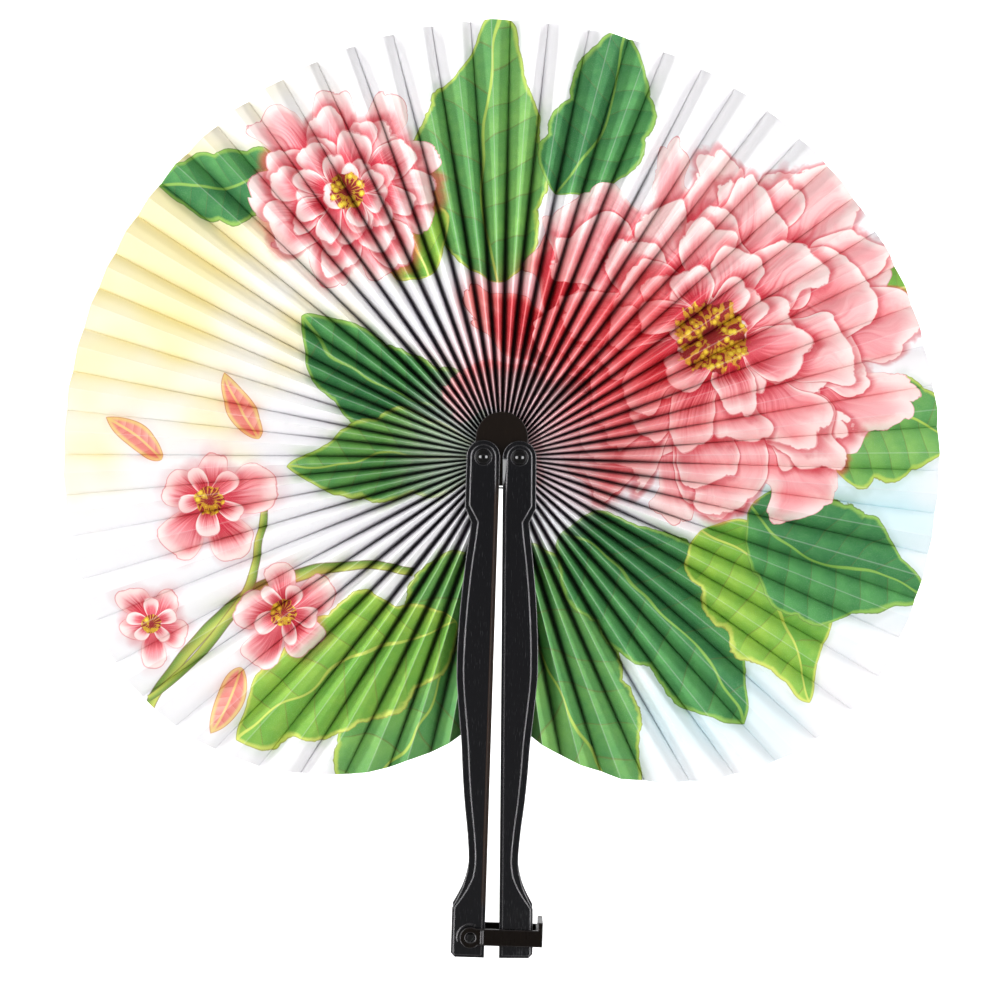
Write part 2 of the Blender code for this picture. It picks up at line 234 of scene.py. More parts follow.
def draw_petals(paint, v):
    """One ring of ruffled petals round a centre at 0, each with its own length and tint."""
    reach = v["Reach"]
    drift_x, drift_y = swirl(v, reach * 0.55)
    x = v["X"] + drift_x
    y = v["Y"] + drift_y
    radius = paint.length(x, y)
    angle = paint.math("ARCTAN2", y, x)
    turn = angle * v["Count"] / (2 * pi) + v["Phase"]
    whole = paint.math("FLOOR", turn)
    across = (turn - whole - 0.5) * 2 / v["Share"]
    petal = paint.math("WRAP", whole, v["Count"], 0.0) + v["Seed"] * 31.7
    long = paint.chance(petal)
    tint = paint.chance(petal + 0.37)
    tip = paint.math("MAXIMUM", 1 - abs(across)**2.8, 0.0)**0.42
    lobe = abs(paint.math("SINE", angle * reach * 0.34 + v["Fine"] * 1.6 + tint * 5))
    edge = reach * (0.82 + long * 0.3) * tip
    edge = edge + v["Ruffle"] * (lobe * 1.5 + v["Fine"] * 1.6 - 1.8)
    gap = edge - radius
    along = radius / paint.math("MAXIMUM", edge, 0.001)
    mask = paint.step(gap, 0.0, 0.14)
    streak = paint.noise_line(across * 9 + petal * 3.3 + v["Fine"] * 0.5)
    deep = paint.step(along + (streak - 0.5) * 0.5, 0.8, 0.32)
    pale = paint.step(along + (streak - 0.5) * 0.35, 0.45, 0.9)
    body = paint.mix(deep, v["Mid"], v["Deep"])
    body = paint.mix(pale * 0.9, body, v["Pale"])
    body = paint.mix(paint.step(tint, 0.1, 1.0) * 0.45, body, v["Mid"])
    fold = paint.step(paint.math("SINE", across * 4.2 + tint * 6), 0.2, 1.0)
    body = paint.mix(fold * 0.32 * paint.step(along, 1.0, 0.4), body, v["Deep"])
    vein = paint.step(abs(streak - 0.5), 0.035, 0.0)
    body = paint.mix(vein * 0.1, body, v["Deep"])
    body = paint.mix(paint.step(gap, reach * 0.1 + 2.6, 0.9) * 0.82, body, v["Rim"])
    body = paint.mix(paint.step(gap, 0.5, 0.28) * 0.6, body, v["Line"])
    shadow = paint.step(gap, -3.8, 0.0) * 0.72
    under = paint.mix(shadow * v["Shadow"], v["Under"], v["Deep"])
    return paint.mix(mask, under, body)


def draw_blade(paint, v):
    """A leaf, bud or sepal from its base along its own bent midrib."""
    drift_x, drift_y = swirl(v, v["Width"] * 0.7)
    x = v["X"] - v["Base X"]
    y = v["Y"] - v["Base Y"] + drift_y
    turned_cos = paint.math("COSINE", v["Angle"])
    turned_sin = paint.math("SINE", v["Angle"])
    along = (x * turned_cos + y * turned_sin) / v["Length"]
    out = (y * turned_cos - x * turned_sin + drift_x * along) / v["Width"]
    out = out - v["Bend"] * along * (1 - along) * 4
    width = 2.6 * paint.math("MAXIMUM", along, 0.0)**0.62 * paint.math("MAXIMUM", 1 - along, 0.0)**0.85
    side = abs(out)
    tooth = abs(paint.math("SINE", along * 12 + paint.math("SIGN", out) + v["Seed"]))
    width = width * (1 + v["Teeth"] * (tooth + v["Fine"] * 0.8 - 1.0))
    share = side / paint.math("MAXIMUM", width, 0.0001)
    gap = (width - side) * v["Width"]
    mask = paint.step(gap, 0.0, 0.16)
    upper = paint.step(out, -0.02, 0.02)
    rib = paint.math("FRACT", along * 7.5 - side * 0.9 + upper * 0.5)
    body = paint.mix(upper * 0.35 + v["Fine"] * 0.55, v["Light"], v["Dark"])
    body = paint.mix(paint.step(rib, 0.15, 1.0) * 0.45, body, v["Dark"])
    body = paint.mix(paint.step(share, 0.6, 0.0) * 0.25, body, v["Dark"])
    vein = paint.step(abs(rib - 0.5), 0.46, 0.5) * paint.step(share, 0.95, 0.7)
    body = paint.mix(vein * 0.5, body, v["Vein"])
    body = paint.mix(paint.step(side * v["Width"], 0.5, 0.2) * 0.8, body, v["Rim"])
    body = paint.mix(paint.step(gap, 1.7, 0.7) * 0.8, body, v["Rim"])
    body = paint.mix(paint.step(gap, 0.42, 0.22) * 0.55, body, v["Vein"])
    inside = paint.step(along, -0.03, 0.03) * paint.step(along, 1.03, 0.97)
    under = paint.mix(paint.step(gap, -3.0, 0.0) * inside * v["Shadow"], v["Under"], v["Dark"])
    return paint.mix(mask, under, body)


def draw_stem(paint, v):
    """A stalk along an arc of a circle, between two angles about its middle one."""
    x = v["X"] - v["Base X"]
    y = v["Y"] - v["Base Y"]
    off = paint.length(x, y) - v["Reach"] + (v["Drift A"] - 0.5) * 5
    turn = paint.math("WRAP", paint.math("ARCTAN2", y, x) - v["Angle"], pi, -pi)
    run = abs(turn) / v["Spread"]
    half = v["Width"] * (1.1 - run * 0.4)
    share = abs(off) / half
    mask = paint.step(share, 1.0, 0.8) * paint.step(run, 1.0, 0.985)
    body = paint.mix(paint.step(off / half, -0.7, 0.8), v["Light"], v["Dark"])
    body = paint.mix(paint.step(share, 0.6, 0.95), body, v["Vein"])
    return paint.mix(mask, v["Under"], body)


def draw_stamens(paint, v):
    """A cluster of stamens: bright heads on fine stalks over a dark heart."""
    reach = v["Reach"]
    radius = paint.length(v["X"], v["Y"]) / reach + (v["Fine"] - 0.5) * 0.8
    angle = paint.math("ARCTAN2", v["Y"], v["X"])
    mask = paint.step(radius, 1.0, 0.92)
    stalk = paint.step(paint.math("SINE", angle * 17 + v["Fine"] * 9), 0.3, 0.9)
    cells = paint.node("ShaderNodeTexVoronoi", {"Vector": paint.vector(v["X"], v["Y"]), "Scale": 0.55})
    near = Num(paint, cells.outputs["Distance"])
    heads = paint.step(near, 0.56, 0.42) * paint.step(radius, 0.22, 0.4)
    body = paint.mix(stalk * 0.75 * paint.step(radius, 0.15, 0.45), v["Dark"], v["Light"])
    body = paint.mix(heads, body, v["Rim"])
    body = paint.mix(heads * paint.step(near, 0.26, 0.4), body, v["Vein"])
    return paint.mix(mask, v["Under"], body)


def patch_radius(paint, v):
    """How far out in a soft patch a place is: 0 in its middle and 1 at its rim."""
    drift_x, drift_y = swirl(v, v["Reach"])
    x = v["X"] - v["Base X"] + drift_x
    y = v["Y"] - v["Base Y"] + drift_y
    return paint.length(x, y) / v["Reach"]


def draw_wash(paint, v):
    """A soft patch of thin colour."""
    share = paint.step(patch_radius(paint, v), 1.0, 0.2) * v["Shadow"]
    return paint.mix(share, v["Under"], v["Light"])


def draw_glaze(paint, v):
    """A soft patch of thin colour that deepens what it lies on."""
    share = paint.step(patch_radius(paint, v), 1.0, 0.3) * v["Shadow"]
    return paint.mix(share, v["Under"], v["Light"], "MULTIPLY")


SHARED = ["X", "Y", "Drift A", "Drift B", "Fine"]
BLADE_COLOURS = ["Light", "Dark", "Rim", "Vein"]
petals = motif("petals", SHARED + ["Count", "Share", "Reach", "Phase", "Seed", "Ruffle", "Shadow"],
               ["Deep", "Mid", "Pale", "Rim", "Line"], draw_petals)
blade = motif("blade", SHARED + ["Base X", "Base Y", "Angle", "Length", "Width", "Bend", "Teeth",
                                 "Seed", "Shadow"], BLADE_COLOURS, draw_blade)
stem = motif("stem", SHARED + ["Base X", "Base Y", "Angle", "Spread", "Reach", "Width"],
             ["Light", "Dark", "Vein"], draw_stem)
stamens = motif("stamens", SHARED + ["Reach"], BLADE_COLOURS, draw_stamens)
WASH_NUMBERS = SHARED + ["Base X", "Base Y", "Reach", "Seed", "Shadow"]
wash = motif("wash", WASH_NUMBERS, ["Light"], draw_wash)
glaze = motif("glaze", WASH_NUMBERS, ["Light"], draw_glaze)

PAPER_WHITE = colour(250, 249, 250)
PAPER_GREY = colour(244, 243, 248)
PAPER_BACK = colour(246, 245, 247)
ROSE = {
    "Deep": colour(208, 44, 66), "Mid": colour(243, 138, 148), "Pale": colour(252, 208, 208),
    "Rim": colour(255, 240, 236), "Line": colour(214, 92, 104),
}
CRIMSON = {
    "Deep": colour(142, 10, 28), "Mid": colour(206, 50, 66), "Pale": colour(236, 118, 124),
    "Rim": colour(252, 196, 190), "Line": colour(150, 26, 40),
}
GREEN = {
    "Light": colour(146, 200, 100), "Dark": colour(70, 144, 80), "Rim": colour(198, 218, 96),
    "Vein": colour(122, 112, 58),
}
DEEP_GREEN = {
    "Light": colour(96, 170, 92), "Dark": colour(34, 108, 60), "Rim": colour(156, 198, 88),
    "Vein": colour(92, 104, 56),
}
LIME = {
    "Light": colour(176, 212, 84), "Dark": colour(98, 168, 64), "Rim": colour(220, 226, 110),
    "Vein": colour(138, 128, 62),
}
BUD = {
    "Light": colour(250, 190, 176), "Dark": colour(232, 112, 106), "Rim": colour(242, 218, 140),
    "Vein": colour(200, 92, 80),
}
STALK = {"Light": colour(196, 206, 96), "Dark": colour(112, 150, 62), "Vein": colour(122, 96, 58)}
HEART = {
    "Light": colour(232, 180, 56), "Dark": colour(150, 30, 34), "Rim": colour(244, 220, 66),
    "Vein": colour(206, 160, 34),
}


# Each of these returns a motif's node group, its numbers, its colours, the origin of its own x and y,
# and the middle and radius of a circle that holds it. Lengths are in millimetres, angles in degrees

def leaf_of(x, y, angle, length, width, bend, seed, colours=GREEN, teeth=0.14, shadow=0.14):
    """A blade that grows from (x, y)."""
    numbers = {
        "Base X": x, "Base Y": y, "Angle": radians(angle), "Length": length, "Width": width,
        "Bend": bend, "Teeth": teeth, "Seed": seed, "Shadow": shadow,
    }
    middle = (x + cos(radians(angle)) * length / 2, y + sin(radians(angle)) * length / 2)
    return blade, numbers, colours, (0, 0), middle, length / 2 + width * 0.6


def ring_of(centre, reach, count, share, phase, seed, ruffle=1.0, shadow=1.0, colours=ROSE):
    """A ring of petals round a centre."""
    numbers = {
        "Count": count, "Share": share, "Reach": reach, "Phase": phase, "Seed": seed,
        "Ruffle": ruffle, "Shadow": shadow,
    }
    return petals, numbers, colours, centre, centre, reach * 1.28 + 3


# Petals in each ring of a bloom, from the outermost, and how much the rings shrink towards the middle
RING_COUNTS = (9, 8, 9, 7, 8, 6, 7, 5, 5)
RING_SHRINK = 0.84


def bloom_of(centre, reach, rings, seed, first_count=0):
    """A full bloom: rings of petals from the outermost inwards, round a cluster of stamens."""
    made = []
    for n in range(rings):
        ring_reach = reach * (1 - RING_SHRINK * n / rings)**0.95
        shift = seed * 1.7 + n * 2.4
        drift = reach * 0.12 * n / rings
        middle = (centre[0] + drift * cos(shift), centre[1] + drift * sin(shift))
        made.append(ring_of(middle, ring_reach, RING_COUNTS[n + first_count], 0.97, 0.37 * n + seed,
                            seed + n * 1.31, 0.5 + ring_reach / 60, 0.0 if n == 0 else 0.9))
    made.append((stamens, {"Reach": reach * 0.18}, HEART, centre, centre, reach * 0.36))
    return made


def blossom_of(centre, reach, seed):
    """A small open flower of five petals."""
    return [
        ring_of(centre, reach, 5, 0.98, seed, seed, 0.5, 0.2),
        ring_of(centre, reach * 0.6, 5, 0.8, seed + 0.5, seed + 2, 0.4, 0.6),
        (stamens, {"Reach": reach * 0.24}, HEART, centre, centre, reach * 0.5),
    ]


def stem_of(x, y, reach, angle, spread, width):
    """A stalk on an arc round (x, y)."""
    numbers = {
        "Base X": x, "Base Y": y, "Angle": radians(angle), "Spread": radians(spread),
        "Reach": reach, "Width": width,
    }
    middle = (x + reach * cos(radians(angle)), y + reach * sin(radians(angle)))
    return stem, numbers, STALK, (0, 0), middle, reach * 2 * sin(radians(spread) / 2) + 6


def wash_of(x, y, reach, strength, seed, tint, kind=wash):
    """A soft patch of thin colour."""
    numbers = {"Base X": x, "Base Y": y, "Reach": reach, "Seed": seed, "Shadow": strength}
    return kind, numbers, {"Light": tint}, (0, 0), (x, y), reach * 1.4


YELLOW_WASH = colour(252, 241, 190)
CYAN_WASH = colour(200, 236, 242)
RED_GLAZE = colour(246, 128, 136)

PICTURE = [
    wash_of(-112, 60, 88, 1.0, 1.0, YELLOW_WASH),
    wash_of(104, -16, 44, 0.65, 3.0, CYAN_WASH),
    wash_of(60, -66, 40, 0.5, 4.0, CYAN_WASH),
    stem_of(-38, -98, 66, 128, 50, 1.9),
    stem_of(-134, -14, 66, -30, 30, 1.5),
    leaf_of(-6, -30, 243, 86, 24, 0.3, 1.2, GREEN),
    leaf_of(-12, -50, 209, 72, 18, -0.3, 2.2, LIME),
    leaf_of(-4, 8, 152, 62, 15, 0.3, 3.2, DEEP_GREEN),
    leaf_of(-6, -2, 184, 56, 14, -0.25, 4.2, GREEN),
    leaf_of(6, -26, -66, 88, 23, -0.3, 5.2, GREEN),
    leaf_of(18, -20, -46, 78, 19, 0.25, 6.2, DEEP_GREEN),
    leaf_of(58, -18, -58, 60, 19, 0.3, 7.2, LIME),
    leaf_of(72, -12, -26, 58, 18, -0.3, 8.2, DEEP_GREEN),
    leaf_of(92, 6, 2, 42, 16, 0.3, 9.2, GREEN),
    leaf_of(96, 40, 24, 34, 12, 0.3, 16.2, LIME),
    leaf_of(-2, 50, 90, 76, 19, 0.3, 10.2, GREEN),
    leaf_of(14, 76, 68, 52, 15, -0.3, 11.2, DEEP_GREEN),
    leaf_of(-22, 50, 128, 40, 13, -0.3, 12.2, LIME),
    leaf_of(-66, 84, 196, 36, 11, 0.3, 17.2, DEEP_GREEN),
]
PICTURE += [ring_of((22, 26), 42, 8, 0.97, 0.2, 21.0, 1.2, 0.2, CRIMSON)]
PICTURE += bloom_of((60, 36), 60, 9, 1.0)
PICTURE += [wash_of(22, 26, 44, 0.85, 2.0, RED_GLAZE, glaze)]
PICTURE += bloom_of((-46, 76), 30, 6, 4.0, 2)
PICTURE += blossom_of((-84, -14), 18, 2.3)
PICTURE += blossom_of((-62, -46), 16, 5.1)
PICTURE += blossom_of((-100, -50), 12, 7.7)
PICTURE += [
    leaf_of(-70, 4, 118, 22, 4.5, 0.2, 13.0, BUD, 0.0, 0.06),
    leaf_of(-98, -2, 146, 20, 4, -0.2, 14.0, BUD, 0.0, 0.06),
    leaf_of(-74, -62, 248, 21, 4.5, 0.2, 15.0, BUD, 0.0, 0.06),
]


# Paper

def shared_numbers(paint, place, x, y):
    """What all the motifs of one material share: the place and three smooth noises."""
    drift = paint.parts(paint.noise(place, 0.045).outputs["Color"])
    return {"X": x, "Y": y, "Drift A": drift[0], "Drift B": drift[1],
            "Fine": paint.noise_at(place, 0.36, 2.0)}


def add_motif(paint, item, shared, under):
    """Lays one motif of the picture over the colour so far."""
    tree, numbers, colours, origin = item[:4]
    values = dict(numbers, **colours)
    values.update(shared)
    if origin != (0, 0):
        values.update(X=shared["X"] - origin[0], Y=shared["Y"] - origin[1])
    made = paint.node("ShaderNodeGroup", node_tree=tree)
    for name, value in dict(values, Under=under).items():
        paint.feed(made.inputs[name], value)
    return made.outputs["Colour"]


def picture_ink(paint, paper, shared, points):
    """The paper's colour with every motif that reaches one of the points laid on it in turn."""
    ink = paper
    for item in PICTURE:
        middle, reach = item[4:6]
        if min(hypot(x - middle[0], y - middle[1]) for x, y in points) < reach:
            ink = add_motif(paint, item, shared, ink)
    return ink


# Distances from the hub in millimetres: where the thin ink and each painted shade of the folds starts or
# fades out, and where it is full
THIN_INK = (36.0, 13.0)
SOFT_SHADE = (112.0, 12.0)
VALLEY_LINE = (122.0, 42.0)
VALLEY_BAND = (104.0, 30.0)
BAND_NARROWING = (10.0, 100.0)
PANEL_SPREAD = radians(FIRST_PLEAT_ANGLE / 2)
VALLEY_SHADE = colour(64, 52, 72)
FOLD_SHADE = colour(150, 138, 164)


def worn_ink(paint, ink, paper, fibre, radius, from_ridge):
    """Ink that is thin on proud fibres and near the hub, and rubbed off along the ridges."""
    thin = paint.step(fibre, 0.52, 0.72) * 0.14 + paint.step(radius, *THIN_INK) * 0.6
    ink = paint.mix(thin, ink, paper)
    worn = paint.step(from_ridge + fibre * 0.5, 0.5, 0.25) * 0.16
    return paint.mix(worn, ink, paper)


def shaded_folds(paint, ink, x, radius, pleat, fold_share):
    """Paints shade on one flank of each pleat and in its valley, less at the disc's sides, where more
    light gets in.

    pleat runs from 0 to 1 between two valleys, and fold_share from 0 on the ridge to 1 in the valley.
    """
    from_valley = (1 - fold_share) * radius * PANEL_SPREAD
    squared = paint.mix(1.0, ink, ink, "MULTIPLY")
    aside = paint.step(x / radius, 0.3, 0.95) + paint.step(x / radius, -0.5, -0.95) * 0.95
    fade = radius * (1 + aside * 0.8)
    flank = paint.step(pleat, 0.5, 0.0) * (1 - pleat)
    ink = paint.mix(flank * 0.3, ink, squared)
    soft = flank * paint.step(fade, *SOFT_SHADE) * 0.75
    ink = paint.mix(soft, ink, paint.mix(1.0, squared, FOLD_SHADE, "MULTIPLY"))
    groove = paint.step(from_valley, 0.95 - aside * 0.5, 0.12) * paint.step(fade, *VALLEY_LINE)
    deep = 0.62 - paint.step(radius, *BAND_NARROWING) * 0.5
    band = paint.step(1 - fold_share, deep, deep * 0.4) * paint.step(fade, *VALLEY_BAND)
    dark = paint.math("MAXIMUM", groove, band * 0.96)
    return paint.mix(dark * 0.88, ink, paint.mix(1.0, squared, VALLEY_SHADE, "MULTIPLY"))


def paper_material(name, points, side_sign):
    """Printed paper with the part of the picture that reaches these points, in millimetres.

    The map "print" gives a place in the picture. The map "fold" gives the crease line's number, and a
    second number that is over 1 on the sheet's rear and edges.
    """
    made = bpy.data.materials.new(name)
    made.use_nodes = True
    paint = Paint(made.node_tree)
    shader = made.node_tree.nodes["Principled BSDF"]
    across, up, _ = paint.sides(paint.node("ShaderNodeUVMap", uv_map="print").outputs[0])
    x = (across - 0.5) * PICTURE_WIDTH
    y = (up - 0.5) * PICTURE_WIDTH
    place = paint.vector(x, y)
    line, behind, _ = paint.sides(paint.node("ShaderNodeUVMap", uv_map="fold").outputs[0])
    shared = shared_numbers(paint, place, x, y)
    paper = paint.mix(shared["Fine"] * 0.5, PAPER_WHITE, PAPER_GREY)
    ink = picture_ink(paint, paper, shared, points)
    fibre = paint.noise_at(place, 5.0, 3.0)
    radius = paint.length(x, y)
    pleat = paint.math("FRACT", line * (-0.5 * side_sign))
    fold_share = abs(pleat - 0.5) * 2
    ink = worn_ink(paint, ink, paper, fibre, radius, fold_share * radius * PANEL_SPREAD)
    ink = shaded_folds(paint, ink, x, radius, pleat, fold_share)
    face = paint.mix(paint.step(behind, 1.2, 1.6) * 0.93, ink, PAPER_BACK)
    paint.feed(shader.inputs["Base Color"], face)
    paint.feed(shader.inputs["Roughness"], 0.62 + fibre * 0.2)
    shader.inputs["Specular IOR Level"].default_value = 0.3
    height = paint.node("ShaderNodeBump", {
        "Height": fibre + shared["Fine"] * 2, "Strength": 0.12, "Distance": 0.0002,
    })
    paint.feed(shader.inputs["Normal"], height.outputs[0])
    return made


def crease_angle(line):
    """Degrees from the top of the disc to a crease. Even lines are rear creases, odd ones front."""
    pleat = line / 2
    return FIRST_PLEAT_ANGLE * pleat + PLEAT_GROWTH_ANGLE * pleat**3


def edge_radius(angle):
    """The leaf's outer radius, trimmed back towards the handles."""
    end = crease_angle(2 * (PLEATS_PER_SIDE + PLEATS_IN_CHANNEL))
    past = max(angle - TRIM_START_ANGLE, 0) / (end - TRIM_START_ANGLE)
    return LEAF_RADIUS - TRIM_DEPTH * past**TRIM_POWER


def sheet_place(line, radius, run, depth_share=1.0):
    """Front and rear of the sheet at a crease, across the depth. run is a panel's width there."""
    run = min(run, PANEL_WIDTH - PAPER_THICKNESS)
    depth = sqrt(PANEL_WIDTH**2 - run**2) * depth_share
    thick = PAPER_THICKNESS
    rest = run**2 - thick**2
    shift = (sqrt((thick**2 * depth)**2 + rest * thick**2 * (run**2 + depth**2))
             - thick**2 * depth) / rest
    if line % 2:
        return -depth / 2, -depth / 2 + shift
    return depth / 2 - shift, depth / 2


# From the disc's middle plane to the leaf's glued edge, level with the hub
WEB_PLACE = PIN_PLACE - HEAD_RADIUS + WEB_THICKNESS + RUNNING_GAP


def web_angle(radius):
    """Degrees from the top to the glued edge of the leaf, which lies along the handle's web."""
    beside = WEB_PLACE + radius * tan(LEAN)
    return 180 - degrees(asin(beside / radius))


# The mesh's columns across a panel and rows along it, closer together at the valley and the hub
VALLEY_SHARES = (0, 0.05, 0.12, 0.22, 0.36, 0.54, 0.76, 1)
RADIAL_STEPS = 26
RADIAL_POWER = 1.25

# How the valleys are pinched, how far the ridges lean, and how uneven the folds are
PINCH_POWER = 1.5
RIDGE_LEAN_ANGLE = 0.3
UNEVEN_ANGLE = 0.28
UNEVEN_DEPTH = 0.93
UNEVEN_TRIM = 0.00022
PANEL_BOW = 0.0002
SMOOTH_ANGLE = radians(32)

# The map "fold" has a second number that grows to this from the hub to the edge, which gives the map
# an area, and has the mark added to it on the sheet's rear and edges
FOLD_MAP_LENGTH = 0.9
REAR_MARK = 2.0


def panel_shares(line):
    """Shares across a panel from its first crease: how deep, and how far sideways."""
    rows = [(share, share**PINCH_POWER) for share in VALLEY_SHARES]
    if line % 2:
        rows = [(1 - deep, 1 - out) for deep, out in reversed(rows)]
    return rows


def crease_point(side, line, share, inner, odd, last_line=None):
    """A point of a crease in the plane of the disc, with the sheet's front and rear there."""
    turn, deep, trim = odd
    if line % 2 and line < 2 * PLEATS_PER_SIDE:
        turn += RIDGE_LEAN_ANGLE * side
    angle = crease_angle(line)
    outer = edge_radius(web_angle(LEAF_RADIUS) if line == last_line else angle) + trim
    radius = inner + (outer - inner) * share
    run = radius * radians(crease_angle(line + 1) - crease_angle(line - 1)) / 2
    angle = web_angle(radius) if line == last_line else angle + turn
    front, rear = sheet_place(line, radius, run, deep)
    return Vector((side * radius * sin(radians(angle)), 0, radius * cos(radians(angle)))), front, rear


def crease_oddness(side, line):
    """How far one crease is from its true angle, depth and trim, the same for both its panels."""
    if line in (0, 2 * PLEATS_PER_SIDE) or line > 2 * PLEATS_PER_SIDE:
        return 0.0, 1.0, 0.0
    dice = random.Random(1000 * (side + 2) + line)
    turn = dice.uniform(-UNEVEN_ANGLE, UNEVEN_ANGLE)
    return turn, dice.uniform(UNEVEN_DEPTH, 1.0), dice.uniform(-UNEVEN_TRIM, 0.0)


def sheet_columns(first, last):
    """Columns of points across the panels: each panel's first crease, how deep, how far sideways."""
    columns = []
    for line in range(first, last):
        columns += [(line, deep, out) for deep, out in panel_shares(line)[:-1]]
    return columns + [(last - 1, 1, 1)]


def sheet_points(side, columns, inner, last_line):
    """The sheet's front and rear points, with each one's place in the picture and in the folds."""
    fronts, rears, flats, folds = [], [], [], []
    for line, deep, out in columns:
        odd_a, odd_b = crease_oddness(side, line), crease_oddness(side, line + 1)
        bow = random.Random(f"{side} {line}").uniform(-PANEL_BOW, PANEL_BOW) * 4 * deep * (1 - deep)
        for n in range(RADIAL_STEPS + 1):
            share = (n / RADIAL_STEPS)**RADIAL_POWER
            a, front_a, rear_a = crease_point(side, line, share, inner, odd_a, last_line)
            b, front_b, rear_b = crease_point(side, line + 1, share, inner, odd_b, last_line)
            spot = a.lerp(b, out)
            front = front_a + (front_b - front_a) * deep
            rear = rear_a + (rear_b - rear_a) * deep
            swell = bow * sin(pi * share)
            fronts.append((spot.x, front + swell, spot.z + HUB_HEIGHT))
            rears.append((spot.x, rear + swell, spot.z + HUB_HEIGHT))
            flats.append((0.5 + spot.x / MM / PICTURE_WIDTH, 0.5 + spot.z / MM / PICTURE_WIDTH))
            folds.append((line + out, share))
    return fronts, rears, flats, folds


def sheet_faces(column_count, flip):
    """Faces of the front, then of the rear and the edges, and how many are on the front.

    The rear's points are numbered on from the front's.
    """
    rows = RADIAL_STEPS + 1
    size = column_count * rows
    faces = []
    for column in range(column_count - 1):
        for n in range(RADIAL_STEPS):
            a = column * rows + n
            face = (a, a + rows, a + rows + 1, a + 1)
            faces.append(face if flip else face[::-1])
    front_count = len(faces)
    faces += [tuple(size + n for n in face[::-1]) for face in faces]
    rim = list(range(rows))
    rim += [column * rows + rows - 1 for column in range(1, column_count)]
    rim += [size - 1 - n for n in range(1, rows)]
    rim += [column * rows for column in range(column_count - 2, 0, -1)]
    for a, b in zip(rim, rim[1:] + rim[:1]):
        face = (a, b, size + b, size + a)
        faces.append(face[::-1] if flip else face)
    return faces, front_count


def add_maps(mesh, front_count, flats, folds):
    """Gives the sheet its maps "print" and "fold"."""
    print_map = mesh.uv_layers.new(name="print")
    fold_map = mesh.uv_layers.new(name="fold")
    for polygon in mesh.polygons:
        behind = REAR_MARK if polygon.index >= front_count else 0.0
        for corner in polygon.loop_indices:
            vertex = mesh.loops[corner].vertex_index % len(flats)
            print_map.data[corner].uv = flats[vertex]
            line, share = folds[vertex]
            fold_map.data[corner].uv = (line, behind + share * FOLD_MAP_LENGTH)


def paper_piece(name, side, first, last, inner, ends_on_web=False):
    """A stretch of the pleated sheet with pinched valleys, true thickness and the picture's place."""
    columns = sheet_columns(first, last)
    fronts, rears, flats, folds = sheet_points(side, columns, inner, last if ends_on_web else None)
    faces, front_count = sheet_faces(len(columns), side > 0)
    mesh = bpy.data.meshes.new(name)
    mesh.from_pydata(fronts + rears, [], faces)
    add_maps(mesh, front_count, flats, folds)
    mesh.update()
    piece = bpy.data.objects.new(name, mesh)
    bpy.context.scene.collection.objects.link(piece)
    mesh.shade_smooth()
    mesh.set_sharp_from_angle(angle=SMOOTH_ANGLE)
    points = [((u - 0.5) * PICTURE_WIDTH, (v - 0.5) * PICTURE_WIDTH) for u, v in flats[::5]]
    mesh.materials.append(paper_material(f"{name}_print", points, side))
    return piece


def make_leaf():
    """All the sections, each folding up about the hub, and the ends glued in the handles."""
    last_free = 2 * PLEATS_PER_SIDE
    for side, word in ((-1, "left"), (1, "right")):
        for n in range(last_free // LINES_PER_SECTION):
            node = f"leaf_{word}_{n + 1:02d}"
            first = n * LINES_PER_SECTION
            last = first + LINES_PER_SECTION
            piece = paper_piece(f"pleats_{word}_{n + 1:02d}", side, first, last, LEAF_INNER_RADIUS)
            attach(piece, node)
            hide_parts(node)
            middle = radians((crease_angle(first) + crease_angle(last)) / 2)
            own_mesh(piece)
        end = last_free + 2 * PLEATS_IN_CHANNEL + 1
        piece = paper_piece(f"pleats_end_{word}", side, last_free, end, END_INNER_RADIUS, True)
        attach(piece, f"{word}_handle")
        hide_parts(f"leaf_end_{word}")
        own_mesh(piece)


make_leaf()


# Plastic and metal

def plain_material(name, base, roughness, metallic=0.0):
    """A Principled material and its sums, with places in millimetres on the piece."""
    made = bpy.data.materials.new(name)
    made.use_nodes = True
    paint = Paint(made.node_tree)
    shader = made.node_tree.nodes["Principled BSDF"]
    shader.inputs["Base Color"].default_value = base
    shader.inputs["Roughness"].default_value = roughness
    shader.inputs["Metallic"].default_value = metallic
    place = paint.node("ShaderNodeTexCoord").outputs["Object"]
    x, y, z = [number / MM for number in paint.sides(place)]
    return made, paint, shader, x, y, z


# Grey of the edges, lightened a little by wear and mostly by a painted highlight
EDGE_WEAR_AND_HIGHLIGHT_GREY = colour(206, 204, 208)
# Grey of the painted highlights, beside the gap on the right head and on the pin heads
HIGHLIGHT_GREY = colour(200, 200, 202)
# Brown of the strip beside the gap on the left handle
BROWN_STRIP = colour(58, 42, 32)
EDGE_ROUNDING = 0.0005

# Places on the pieces, in millimetres. A pair is where a mark ends and where it is full
HUB_UP = HUB_HEIGHT / MM
# How far each painted highlight on a pin head lies from the pin's middle
GLINT_PLACE = 0.85
HANDLE_FRONT = (-4.5, -6.5)
FOOT_SCUFFS = (-50, -68)
SCUFFED_SIDE = (0, 9)
UPPER_INNER_EDGE = (66, 61)
INNER_EDGE = 0.4
BROWN_WIDTH = (1.4, 1.1)
BROWN_TOP = (67, 60)
BROWN_FOOT = (-58, -54)
# Where the grey painted highlight lies on the right handle's head
GREY_WIDTH = 1.25
GREY_TAPER = 0.1
GREY_SOFTNESS = 0.2
GREY_TOP = (71.8, 71)
GREY_FOOT = (64, 66)


